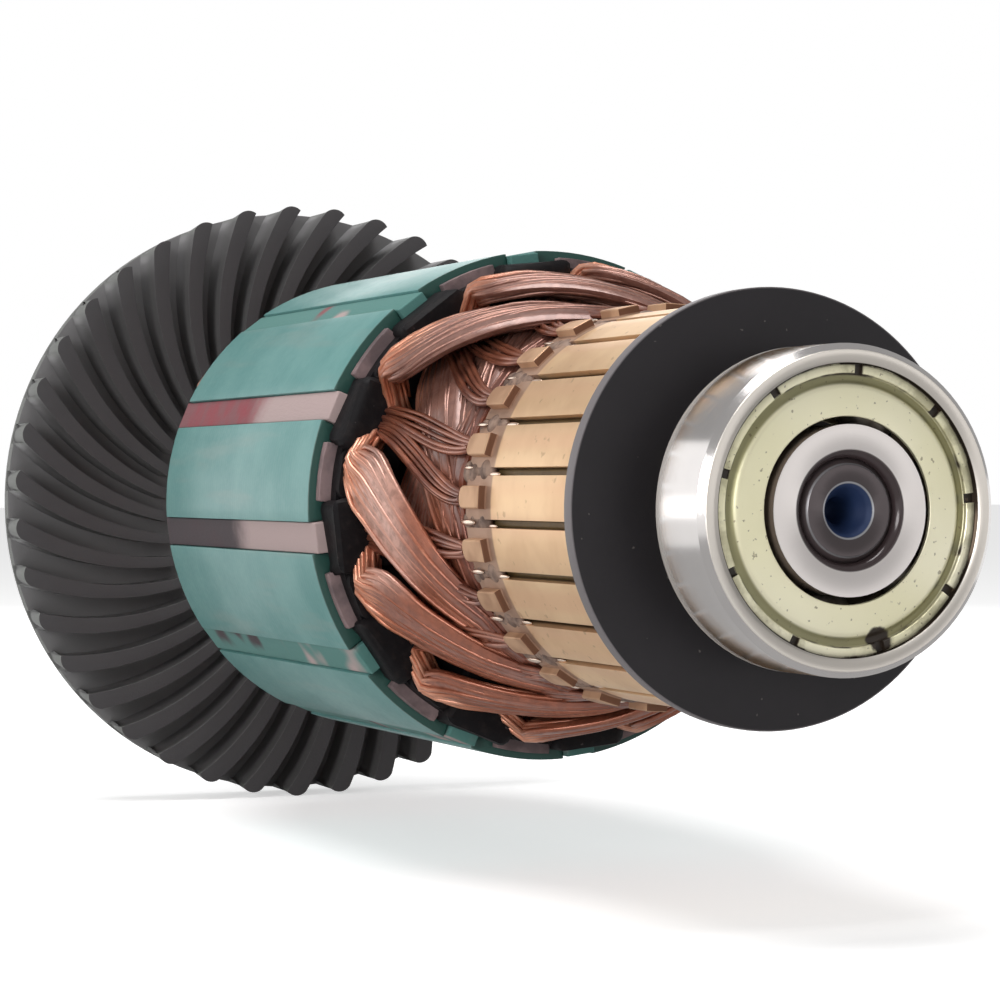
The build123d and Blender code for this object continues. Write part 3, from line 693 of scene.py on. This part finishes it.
def slot_mouths():
    """Black blocks in the outer part of each slot's mouth, front and rear: black packing there, and
    a painted shade for the dark void of the mouth.
    """
    shape = bmesh.new()
    half_size, rounding = Vector((1.55, 2.55, 2.4)) * MM, 0.75 * MM
    middle_radius, standing_off, lumpiness = 14.4 * MM, 1.4 * MM, 0.12
    for k in range(SLOT_COUNT):
        turn = SLOT_ANGLE + k * SLOT_PITCH
        for middle in (CORE_FRONT + standing_off, CORE_BACK - standing_off):
            block = set(bmesh.ops.create_cube(shape, size=2.0)["verts"])
            edges = [edge for edge in shape.edges if edge.verts[0] in block]
            for vertex in block:
                vertex.co = Vector([a * b for a, b in zip(vertex.co, half_size)])
            grown = bmesh.ops.bevel(shape, geom=edges, offset=rounding, segments=3, profile=0.6,
                                    affect="EDGES")
            upright = Matrix.Rotation(radians(turn - 90), 4, "X")
            turned = Matrix.Translation(polar(middle, middle_radius, turn)) @ upright
            body = {vertex for face in grown["faces"] for vertex in face.verts}
            body |= {vertex for vertex in block if vertex.is_valid}
            for vertex in body:
                lump = noise.noise(vertex.co * 900 + Vector((k * 5.0, 0.0, 0.0)))
                vertex.co = turned @ (vertex.co * (1.0 + lump * lumpiness))
    mesh_piece("slot_mouth_black_and_shade", shape, BLACK, "rotor", "end_cap_front")


slot_mouths()


# Patterns


class Pattern(Nodes):
    """Geometry Nodes tree with named inputs, which builds on a mesh of points."""

    def __init__(self, name, **inputs):
        super().__init__(bpy.data.node_groups.new(name, "GeometryNodeTree"))
        sockets = self.tree.interface
        sockets.new_socket("Points", in_out="INPUT", socket_type="NodeSocketGeometry")
        self.inputs = {}
        for key, kind in inputs.items():
            self.inputs[key] = sockets.new_socket(key.replace("_", " "), in_out="INPUT",
                                                  socket_type=f"NodeSocket{kind}").identifier
        sockets.new_socket("Pieces", in_out="OUTPUT", socket_type="NodeSocketGeometry")
        self.build(self.node("NodeGroupInput"))

    def stored(self, name):
        """A vector attribute of the points."""
        kind = {"data_type": "FLOAT_VECTOR"}
        return self.node("GeometryNodeInputNamedAttribute", kind, [name])[0]

    def scaled(self, vector, amount):
        values = {0: vector, "Scale": amount}
        return self.node("ShaderNodeVectorMath", {"operation": "SCALE"}, values)[0]

    def added(self, first, second):
        return self.node("ShaderNodeVectorMath", {"operation": "ADD"}, [first, second])[0]

    def end(self, pieces, finish):
        """Makes the pieces real, with their finish, and ends the tree."""
        real = self.node("GeometryNodeRealizeInstances", None, [pieces])[0]
        values = {"Geometry": real, "Material": finish}
        finished = self.node("GeometryNodeSetMaterial", None, values)[0]
        self.node("NodeGroupOutput", None, [finished])

    def bake(self, name, points, edges, vectors, sizes):
        """Plain mesh object that the tree makes of points, their edges and their stored vectors."""
        mesh = bpy.data.meshes.new(name)
        mesh.from_pydata(points, edges, [])
        for label, rows in vectors.items():
            store = mesh.attributes.new(label, "FLOAT_VECTOR", "POINT")
            store.data.foreach_set("vector", [value for row in rows for value in row])
        carrier = placed(name, mesh)
        modifier = carrier.modifiers.new(name, "NODES")
        modifier.node_group = self.tree
        for key, value in sizes.items():
            modifier[self.inputs[key]] = value
        bpy.context.view_layer.update()
        evaluated = carrier.evaluated_get(bpy.context.evaluated_depsgraph_get())
        baked = bpy.data.meshes.new_from_object(evaluated)
        baked.name = name
        bpy.data.objects.remove(carrier)
        return placed(name, baked)


class Bundle(Pattern):
    """Wires laid side by side along a route."""

    def __init__(self):
        super().__init__("wire_bundle", Wires="Int", Wire_radius="Float", Wander="Float",
                         Twist="Float", Seed="Int", Sides="Int", Finish="Material")

    def build(self, given):
        route = self.node("GeometryNodeMeshToCurve", None, {"Mesh": given["Points"]})["Curve"]
        copies = self.node("GeometryNodeDuplicateElements", {"domain": "SPLINE"},
                           {"Geometry": route, "Amount": given["Wires"]})
        number = copies["Duplicate Index"]
        along = self.node("GeometryNodeSplineParameter")["Length"] * (1 / MM)
        # The wires stand in a golden spiral over the bundle's oval section, and wander a little
        golden_turn = 2.39996
        angle = number * golden_turn + along * given["Twist"]
        share = ((number + 0.5) / given["Wires"] * 0.8 + 0.2).math("SQRT")
        place = self.added(self.scaled(self.stored("across"), angle.math("COSINE") * share),
                           self.scaled(self.stored("outward"), angle.math("SINE") * share))
        where = self.vector(along * 0.16, number * 5.3, given["Seed"] * 7.7)
        cloud = self.node("ShaderNodeTexNoise", None,
                          {"Vector": where, "Scale": 1.0, "Detail": 1.0})
        drift = self.scaled(self.added(cloud["Color"], (-0.5, -0.5, -0.5)), given["Wander"] * 2.0)
        moved = self.node("GeometryNodeSetPosition", None,
                          {"Geometry": copies["Geometry"], "Offset": self.added(place, drift)})[0]
        ring = self.node("GeometryNodeCurvePrimitiveCircle", None,
                         {"Resolution": given["Sides"], "Radius": given["Wire radius"]})["Curve"]
        tubes = self.node("GeometryNodeCurveToMesh", None,
                          {"Curve": moved, "Profile Curve": ring, "Fill Caps": True})[0]
        smooth = self.node("GeometryNodeSetShadeSmooth", None, [tubes])[0]
        self.end(smooth, given["Finish"])

    def lay(self, name, stations, **sizes):
        """Bakes one bundle. A station is a point, its half width across and half height outward."""
        points, across, outward = zip(*stations)
        edges = [(i, i + 1) for i in range(len(points) - 1)]
        return self.bake(name, points, edges, {"across": across, "outward": outward}, sizes)


class Beads(Pattern):
    """A small lump on every point."""

    def __init__(self):
        super().__init__("beads", Size="Vector", Variation="Float", Seed="Int", Finish="Material")

    def build(self, given):
        lump = self.node("GeometryNodeMeshIcoSphere", None, {"Radius": 1.0, "Subdivisions": 3})[0]
        lump = self.node("GeometryNodeSetShadeSmooth", None, [lump])[0]
        turned = self.node("FunctionNodeAlignRotationToVector", {"axis": "Z", "pivot_axis": "X"},
                           {"Vector": self.stored("outward")})[0]
        smallest, largest = 1.0 - given["Variation"], given["Variation"] + 1.0
        spread = self.node("FunctionNodeRandomValue", {"data_type": "FLOAT"},
                           {2: smallest, 3: largest, "Seed": given["Seed"]})[1]
        instances = {"Points": given["Points"], "Instance": lump, "Rotation": turned,
                     "Scale": self.scaled(given["Size"], spread)}
        strewn = self.node("GeometryNodeInstanceOnPoints", None, instances)[0]
        self.end(strewn, given["Finish"])

    def strew(self, name, places, **sizes):
        """Bakes the beads at (point, outward) places."""
        points, outward = zip(*places)
        piece = self.bake(name, points, [], {"outward": outward}, sizes)
        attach(piece, "rotor")
        return piece


# Winding


def eased(share):
    """Smooth step of a share from 0 to 1, clamped."""
    share = min(max(share, 0.0), 1.0)
    return share * share * (3 - 2 * share)


# Route of a coil: radii of its legs and apex, its swing round the shaft in degrees and its height
# over the core
OUTER_LEG, INNER_LEG = 13.7 * MM, 11.75 * MM
TOOTH_SWING, PEAK_RADIUS = 11.5, 15.8 * MM
TOP_APEX, LOW_APEX = 12.3 * MM, 11.8 * MM
COIL_SWING, TURN_SWING, SWEEP_POWER = 150.0, 15.0, 1.5
FRONT_HEIGHT, REAR_HEIGHT = 11.9 * MM, 10.9 * MM
LOW_STUB, TOP_STUB, STUB_RISE = 1.9 * MM, 1.0 * MM, 0.5 * MM
TURN_SHARE, TOP_BULGE, FOLD_REACH, FOLD_STEPS = 0.09, 0.7 * MM, 0.3 * MM, 10
LEG_HALF_WIDTH, LEG_HALF_HEIGHT = 1.40 * MM, 0.85 * MM
BUNDLE_HALF_WIDTH, BUNDLE_HALF_HEIGHT = 2.75 * MM, 0.66 * MM
# First coils whose outer and inner legs lie on top; the first slot's coil was wound last
OUTER_TOP_FROM, INNER_TOP_FROM = 5, 9


def half_turn(end_x, side, height, leg_radius, apex_radius, on_top, steps=20):
    """Stations from a leg's end to an end turn's apex: place along, radius, angle and fullness."""
    half_swing = COIL_SWING / 2 - TURN_SWING
    rise, swing = (PEAK_RADIUS - leg_radius, TOOTH_SWING) if on_top else (0.0, 0.0)
    rows = []
    for i in range(steps + 1):
        u = (i / steps) ** 1.3
        # A bundle on top leaves its slot low and turns at once over the next tooth
        over_tooth = eased(u / TURN_SHARE)
        stub = LOW_STUB + STUB_RISE * over_tooth
        if on_top:
            stub -= (LOW_STUB - TOP_STUB) * (1 - over_tooth)
        x = end_x + side * (stub + (height - stub) * u)
        radius = leg_radius + rise * over_tooth + (apex_radius - leg_radius - rise) * u ** 1.15
        swept = swing * over_tooth + (half_swing - swing) * u ** SWEEP_POWER
        fullness = u * 6.5 - 0.5 if on_top else 0.35 + u * 2.0
        rows.append((x, radius, swept, min(1.0, fullness)))
    return rows


def coil_rows(k):
    """All stations of a coil from its outer leg round to its inner leg, front and rear.

    The coils wound last lie on top at both of their slots, those wound first at neither. So the
    bundles on top spread both ways from one slot, as they do in the photograph.
    """
    outer_on_top, inner_on_top = k >= OUTER_TOP_FROM or k == 0, k >= INNER_TOP_FROM or k == 0
    outer_apex = TOP_APEX if outer_on_top else LOW_APEX
    inner_apex = TOP_APEX if inner_on_top else LOW_APEX
    half_swing = COIL_SWING / 2 - TURN_SWING
    ends = []
    for end_x, side, height in ((CORE_FRONT, 1, FRONT_HEIGHT), (CORE_BACK, -1, REAR_HEIGHT)):
        outer = half_turn(end_x, side, height, OUTER_LEG, outer_apex, outer_on_top)
        inner = half_turn(end_x, side, height, INNER_LEG, inner_apex, inner_on_top)
        if inner_on_top:
            inner = [(x, radius + TOP_BULGE * sin(pi * i / len(inner)), swept, fullness)
                     for i, (x, radius, swept, fullness) in enumerate(inner)]
        middle, half_drop = (outer_apex + inner_apex) / 2, (outer_apex - inner_apex) / 2
        fold = []
        for i in range(1, FOLD_STEPS):
            bend = pi * i / FOLD_STEPS
            x = end_x + side * (height + FOLD_REACH * sin(bend))
            swept = half_swing + 2 * TURN_SWING * i / FOLD_STEPS
            fold.append((x, middle + half_drop * cos(bend), swept, 1.0))
        back = [(x, radius, COIL_SWING - swept, fullness)
                for x, radius, swept, fullness in reversed(inner)]
        legs = (end_x, OUTER_LEG, 0.0, 0.0), (end_x, INNER_LEG, COIL_SWING, 0.0)
        ends.append([legs[0], *outer, *fold, *back, legs[1]])
    return ends


def coil_stations(rows, start_angle):
    """Turns rows into points with their across and outward vectors."""
    centres = [polar(x, radius, start_angle + angle) for x, radius, angle, _ in rows]
    stations = []
    for i, (x, radius, angle, fullness) in enumerate(rows):
        before, after = centres[max(i - 1, 0)], centres[min(i + 1, len(rows) - 1)]
        along = (after - before).normalized()
        radial = polar(0.0, 1.0, start_angle + angle)
        across = along.cross(radial)
        across = across.normalized() if across.length > 0.2 else Vector((1, 0, 0)).cross(radial)
        outward = across.cross(along).normalized()
        wide = LEG_HALF_WIDTH + (BUNDLE_HALF_WIDTH - LEG_HALF_WIDTH) * fullness
        high = LEG_HALF_HEIGHT + (BUNDLE_HALF_HEIGHT - LEG_HALF_HEIGHT) * fullness
        stations.append((centres[i], across * wide, outward * high))
    return stations


wires = Bundle()
COIL_WIRES, WIRE_RADIUS = 46, 0.20 * MM
sheets = []
for k in range(SLOT_COUNT):
    front, rear = coil_rows(k)
    loop = [*reversed(rear), *front]
    stations = coil_stations(loop, SLOT_ANGLE + k * SLOT_PITCH)
    coil = wires.lay(f"coil_wires_{k + 1:02d}", stations, Wires=COIL_WIRES, Wire_radius=WIRE_RADIUS,
                     Wander=0.28 * MM, Twist=0.05, Seed=k + 1, Sides=5, Finish=WIRE)
    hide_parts(f"coil_{k + 1:02d}")
    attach(coil, "rotor")
    slot_of(f"coil_{k + 1:02d}")
    sheets.append(stations)


def bundle_varnish(routes, around=16):
    """Smooth varnish inside every bundle: its wires stand clear at the slots and sink in beyond."""
    share_at_slot, share_beyond, sunk_from = 0.55, 1.02, 5.5 * MM
    turns = [FULL_TURN * j / around for j in range(around)]
    shape = bmesh.new()
    for stations in routes:
        rings = []
        for centre, across, outward in stations:
            clear = max(centre.x - CORE_FRONT, CORE_BACK - centre.x)
            share = share_at_slot + (share_beyond - share_at_slot) * eased(clear / sunk_from)
            ring = [(across * cos(turn) + outward * sin(turn)) * share for turn in turns]
            rings.append([shape.verts.new(centre + place) for place in ring])
        skin(shape, rings)
        shape.faces.new(rings[0])
        shape.faces.new(rings[-1])
    mesh_piece("bundle_varnish", shape, SHEET, "rotor", "coil_01", sharp=60.0)


bundle_varnish(sheets)


# Wires to the hooks: from each slot mouth a flat ribbon of wires runs to each of its two bars
LEAD_START, LEAD_END, LEAD_SAG = 12.75 * MM, 14.7 * MM, 0.15 * MM
LEAD_FRONT, LEAD_BACK = BAR_BACK - 0.1 * MM, CORE_FRONT + 2.2 * MM
LEAD_SPREAD, LEAD_STEPS = 2.2, 24
RIBBON_END, RIBBON_SWELL, RIBBON_HEIGHT = 0.30 * MM, 0.65 * MM, 0.15 * MM
lead_sets = []
for k in range(BAR_COUNT):
    side = -1 if k % 2 == 0 else 1
    bar_turn = BAR_ANGLE + (k + 1) * BAR_PITCH
    slot_turn = SLOT_ANGLE + k // 2 * SLOT_PITCH + side * LEAD_SPREAD
    rows = []
    for i in range(LEAD_STEPS + 1):
        u = i / LEAD_STEPS
        x = LEAD_FRONT + (LEAD_BACK - LEAD_FRONT) * u
        radius = LEAD_START + (LEAD_END - LEAD_START) * u ** 1.25 - LEAD_SAG * sin(pi * u) ** 2
        angle = bar_turn + (slot_turn - bar_turn) * eased(u)
        radial = polar(0.0, 1.0, angle)
        sideways = Vector((1, 0, 0)).cross(radial)
        half_width = RIBBON_END + RIBBON_SWELL * sin(pi * u) ** 0.7
        rows.append((polar(x, radius, angle), sideways * half_width, radial * RIBBON_HEIGHT))
    lead_sets.append(wires.lay(f"lead_wires_{k + 1:02d}", rows, Wires=6, Wire_radius=0.18 * MM,
                               Wander=0.15 * MM, Twist=0.0, Seed=40 + k, Sides=6, Finish=LEAD))


def joined(pieces, name):
    """One object from several that share a body and a finish."""
    shape = bmesh.new()
    material = pieces[0].data.materials[0]
    for piece in pieces:
        shape.from_mesh(piece.data)
        bpy.data.objects.remove(piece)
    # The rims of the wires' capped ends stay sharp, as the tree made them
    mesh = bpy.data.meshes.new(name)
    shape.to_mesh(mesh)
    shape.free()
    mesh.materials.append(material)
    mesh.shade_smooth()
    return placed(name, mesh)


leads = joined(lead_sets, "lead_wires")
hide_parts("commutator_leads")
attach(leads, "rotor")
slot_of("commutator_leads")


def soaked_body(name, front_x, back_x, front_radius, back_radius):
    """Lumpy closed body of varnish under the bundles of an end turn."""
    steps, around, bore, lumpiness = 18, 120, 6.5 * MM, 0.35 * MM
    turns = [FULL_TURN * j / around for j in range(around)]
    shape = bmesh.new()
    rings = []
    for i in range(steps + 1):
        u = i / steps
        x = front_x + (back_x - front_x) * u
        ring = []
        for turn in turns:
            lump = noise.noise(Vector((x * 300, cos(turn) * 4, sin(turn) * 4)))
            radius = front_radius + (back_radius - front_radius) * u + lump * lumpiness
            ring.append(shape.verts.new((x, radius * cos(turn), radius * sin(turn))))
        rings.append(ring)
    for x in (back_x, front_x):
        rings.append([shape.verts.new((x, bore * cos(turn), bore * sin(turn))) for turn in turns])
    skin(shape, [*rings, rings[0]])
    mesh_piece(name, shape, SOAKED, "rotor", "coil_01", sharp=50.0)


soaked_body("front_varnish", BAR_BACK - 0.9 * MM, CORE_FRONT + 2.0 * MM, 12.2 * MM, 11.9 * MM)
soaked_body("rear_varnish", CORE_BACK - 2.0 * MM, CORE_BACK - 11.6 * MM, 11.9 * MM, 11.6 * MM)

# Between the hooks lie lumps of resin and, at each slit's back end, bright bits of wire pressed
# down; the bright beads at each slit's front end are a painted highlight on the bars' edges
RESIN_RADIUS, FRONT_HIGHLIGHT_BEAD_RADIUS, BACK_BEAD_RADIUS = 12.22 * MM, 12.36 * MM, 12.62 * MM
beads = Beads()
picks = random.Random(7)
lumps, glints = [], []
for k in range(BAR_COUNT):
    turn = BAR_ANGLE + (k + 0.5) * BAR_PITCH
    for back in (0.0, 0.9, 1.8, 2.7):
        lump_turn = turn + picks.uniform(-0.9, 0.9)
        x = BAR_BACK + (back + picks.uniform(-0.2, 0.2)) * MM
        lumps.append((polar(x, RESIN_RADIUS, lump_turn), polar(0.0, 1.0, lump_turn)))
    slip = picks.uniform(-0.6, 0.6) * 2
    outward = polar(0.0, 1.0, turn)
    # This bead stands in for a painted highlight on the bars' edges
    x = BAR_BACK + picks.uniform(3.9, 4.6) * MM
    glints.append((polar(x, FRONT_HIGHLIGHT_BEAD_RADIUS, turn + 0.7), outward))
    x = BAR_BACK + picks.uniform(0.0, 0.6) * MM
    glints.append((polar(x, BACK_BEAD_RADIUS, turn + slip), outward))
resin_lumps = beads.strew("hook_resin_lumps", lumps, Size=(0.85 * MM, 0.66 * MM, 0.36 * MM),
                          Variation=0.25, Seed=3, Finish=HOOK_RESIN)
slot_of("commutator_hub")
highlight_and_wire_beads = beads.strew("pressed_wire_and_highlight_beads", glints, Size=(0.95 * MM, 0.16 * MM, 0.11 * MM),
                         Variation=0.35, Seed=5, Finish=BEAD)
slot_of("commutator_bar_01")


# Floor, light and camera


WHITE, ROOM_LIGHT = (1.0, 1.0, 1.0, 1.0), 0.30
LAMP_AIM = Vector((-0.03, 0.0, 0.0))


def studio():
    """Plain pale floor, white surroundings and soft lamps."""
    ground = bpy.data.meshes.new("floor")
    half, level = 3.0, cad_low[2] - 0.02 * MM
    corners = [(x * half, y * half, level) for x, y in ((-1, -1), (1, -1), (1, 1), (-1, 1))]
    ground.from_pydata(corners, [], [(0, 1, 2, 3)])
    floor = placed("floor", ground)
    f = Finish("floor_white")
    seen = f.node("ShaderNodeLightPath")
    shaded = f.node("ShaderNodeBsdfDiffuse", None, {"Color": (0.80, 0.80, 0.80, 1.0)})[0]
    glow = f.node("ShaderNodeEmission", None, [WHITE, seen["Is Camera Ray"] * 0.55])[0]
    seen_plainly = f.node("ShaderNodeAddShader", None, [shaded, glow])[0]
    # Metal sees the far floor white, as the camera does, and the floor close under the object grey:
    # a painted shadow of the object
    far = f.length(f.place).between(0.112, 0.122, 0.48, 1.0)
    seen_in_metal = f.node("ShaderNodeEmission", None, [WHITE, far])[0]
    mirrored = seen["Is Glossy Ray"].math("MAXIMUM", seen["Is Transmission Ray"])
    either = f.node("ShaderNodeMixShader", None, [mirrored, seen_plainly, seen_in_metal])[0]
    f.node("ShaderNodeOutputMaterial", None, {"Surface": either})
    ground.materials.append(f.material)

    world = bpy.data.worlds.new("studio")
    bpy.context.scene.world = world
    world.use_nodes = True
    world.node_tree.nodes.clear()
    w = Nodes(world.node_tree)
    ray = w.node("ShaderNodeLightPath")
    height = w.split(w.node("ShaderNodeTexCoord")["Generated"])[2]
    # White behind the object for the camera; metal sees it up to the horizon and a grey room above
    room = height.between(0.055, 0.080, 1.0, 0.40)
    mirrored = ray["Is Glossy Ray"].math("MAXIMUM", ray["Is Transmission Ray"])
    strength = ray["Is Camera Ray"].math("MAXIMUM", mirrored * room).math("MAXIMUM", ROOM_LIGHT)
    background = w.node("ShaderNodeBackground", None, [WHITE, strength])[0]
    w.node("ShaderNodeOutputWorld", None, [background])

    def lamp(name, place, size, power):
        data = bpy.data.lights.new(name, "AREA")
        data.shape = "DISK"
        data.size = size
        data.energy = power
        made = placed(name, data)
        made.location = place
        made.rotation_mode = "QUATERNION"
        made.rotation_quaternion = (LAMP_AIM - Vector(place)).to_track_quat("-Z", "Y")

    lamp("overhead", (-0.02, -0.10, 0.42), 0.30, 1.6)
    lamp("left_rear", (-0.46, -0.22, 0.05), 0.30, 0.2)
    lamp("front_left", (0.25, -0.38, 0.10), 0.20, 0.8)
    lamp("behind", (-0.42, 0.14, 0.13), 0.20, 0.20)
    # The ground ring beside the disc mirrors the room past it
    bpy.data.objects["dust_disc_dressed"].visible_glossy = False


def photo_camera():
    """Camera at the photograph's angle: the bearing's face stands right of the middle, close by."""
    turn, rise = radians(67.3), radians(0.33)
    right = Vector((cos(turn), sin(turn), 0.0))
    back = Vector((sin(turn) * cos(rise), -cos(turn) * cos(rise), sin(rise)))
    up = back.cross(right)
    across, over, away = 19.8 * MM, -0.6 * MM, 169.5 * MM
    data = bpy.data.cameras.new("photo_camera")
    data.sensor_width = 36.0
    data.lens = 3.0 * data.sensor_width
    data.clip_start, data.clip_end = 0.01, 20.0
    camera = placed("photo_camera", data)
    # The middle of the bearing's face lies this far right of the lens's axis, over it and away
    place = Vector((BEARING_FRONT, 0.0, 0.0)) - across * right - over * up + away * back
    turned = Matrix((right, up, back)).transposed()
    camera.matrix_world = Matrix.Translation(place) @ turned.to_4x4()
    bpy.context.scene.camera = camera


studio()
photo_camera()
bpy.context.scene.view_settings.view_transform = "Standard"
